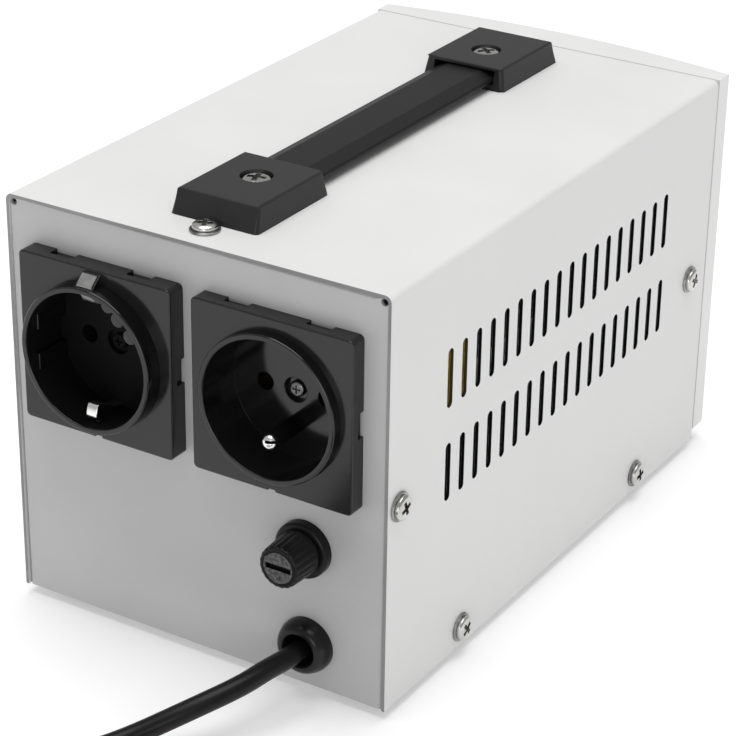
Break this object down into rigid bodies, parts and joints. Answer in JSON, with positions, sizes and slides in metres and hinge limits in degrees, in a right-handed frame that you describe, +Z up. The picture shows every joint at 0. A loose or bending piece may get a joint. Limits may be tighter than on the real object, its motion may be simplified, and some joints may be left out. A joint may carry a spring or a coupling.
{
  "type": "voltage stabilizer",
  "caption": "Small mains voltage stabilizer in a sheet metal case with round earthed sockets and a fuse on the back, side vents, carrying strap, display front and coiled mains cord.",
  "frame": {"origin": "under the middle of the case, midway between the socket rim and the front lamp, at the feet's lowest plane", "axes": "+Z up, the front with the display faces -Y, the rear panel with the sockets faces +Y, +X is on the right of someone who looks at the display"},
  "size_m": [0.185, 0.3594, 0.132],
  "materials": {
    "case_white": "satin, near white",
    "panel_grey": "satin, light grey",
    "bezel_white": "fine texture, near white",
    "socket_black": "fine texture, dark grey black",
    "handle_black": "fine texture, black",
    "strap_black": "smooth, black",
    "fuse_black": "smooth, black",
    "gland_black": "smooth, black",
    "cord_black": "smooth vinyl, black",
    "foot_black": "dull, black",
    "nickel": "bright nickel",
    "zinc": "zinc plated",
    "window_smoke": "clear dark red",
    "digit_red": "dark red segments",
    "lamp_clear": "milky lens",
    "board_green": "green board",
    "board_brown": "brown board",
    "relay_blue": "blue case",
    "can_black": "dark sleeve",
    "sink_aluminium": "plain",
    "filter_yellow": "yellow case",
    "core_steel": "varnished laminations",
    "bobbin_nylon": "natural nylon",
    "copper": "enamelled copper",
    "block_ivory": "ivory",
    "brass": "plain brass",
    "glass": "clear",
    "lead_brown": "brown insulation",
    "lead_blue": "blue insulation",
    "lead_green": "green insulation, yellow line"
  },
  "bodies": {
    "case": {"chassis": "panel_grey", "cover": "case_white", "cover_screws": "nickel", "cover_screw_washers": "nickel", "rubber_feet": "foot_black", "foot_screws": "zinc", "foot_nuts": "zinc", "front_bezel": "bezel_white", "bezel_screws": "zinc", "display_window": "window_smoke", "display_board": "board_green", "display_digits": "digit_red", "indicator_lamps": "lamp_clear", "switch_frame": "fuse_black", "switch_terminals": "brass", "delay_switch": "fuse_black", "left_socket": "socket_black", "left_socket_earth_clips": "nickel", "right_socket": "socket_black", "right_socket_earth_pin": "nickel", "socket_contacts": "brass", "socket_centre_screws": "nickel", "fuse_holder": "fuse_black", "fuse_holder_nut": "fuse_black", "fuse_terminal": "brass", "cord_gland": "gland_black", "mains_cord_inner": "cord_black", "handle_cap_rear": "handle_black", "handle_cap_front": "handle_black", "handle_screws": "nickel", "handle_nuts": "zinc", "transformer_core": "core_steel", "transformer_bobbin": "bobbin_nylon", "transformer_winding": "copper", "transformer_frame": "zinc", "transformer_bolts": "zinc", "transformer_nuts": "zinc", "control_board": "board_green", "board_pillars": "bobbin_nylon", "board_screws": "zinc", "relays": "relay_blue", "capacitors": "can_black", "heat_sink": "sink_aluminium", "filter_board": "board_brown", "filter_capacitor": "filter_yellow", "terminal_block": "block_ivory", "line_leads": "lead_brown", "neutral_leads": "lead_blue", "earth_lead": "lead_green", "earth_stud": "zinc", "mains_cord": "cord_black", "mains_cord_coil": "cord_black", "mains_plug": "cord_black", "plug_pins": "nickel"},
    "power_rocker": {"power_rocker": "fuse_black"},
    "delay_button": {"delay_button": "fuse_black"},
    "fuse_link": {"fuse_glass": "glass", "fuse_ends": "nickel"},
    "fuse_cap": {"fuse_cap": "fuse_black"},
    "handle_strap": {"handle_strap": "strap_black"}
  },
  "joints": [
    {"name": "power_rocker_tilt", "type": "hinge", "parent": "case", "child": "power_rocker", "pos_m": [0.027, -0.10235, 0.038], "axis": [-1, 0, 0], "range_deg": [0, 15]},
    {"name": "delay_button_press", "type": "slide", "parent": "case", "child": "delay_button", "axis": [0, 1, 0], "range_m": [0, 0.0015], "stiffness_N_per_m": 200, "springref_m": -0.0005},
    {"name": "fuse_pull", "type": "slide", "parent": "case", "child": "fuse_link", "axis": [0, 1, 0], "range_m": [0, 0.034]},
    {"name": "fuse_cap_turn", "type": "hinge", "parent": "fuse_link", "child": "fuse_cap", "pos_m": [-0.0355, 0.10125, 0.0456], "axis": [0, 1, 0], "range_deg": [0, 60]},
    {"name": "strap_slide", "type": "slide", "parent": "case", "child": "handle_strap", "axis": [0, 1, 0], "range_m": [-0.0015, 0.0015]}
  ]
}
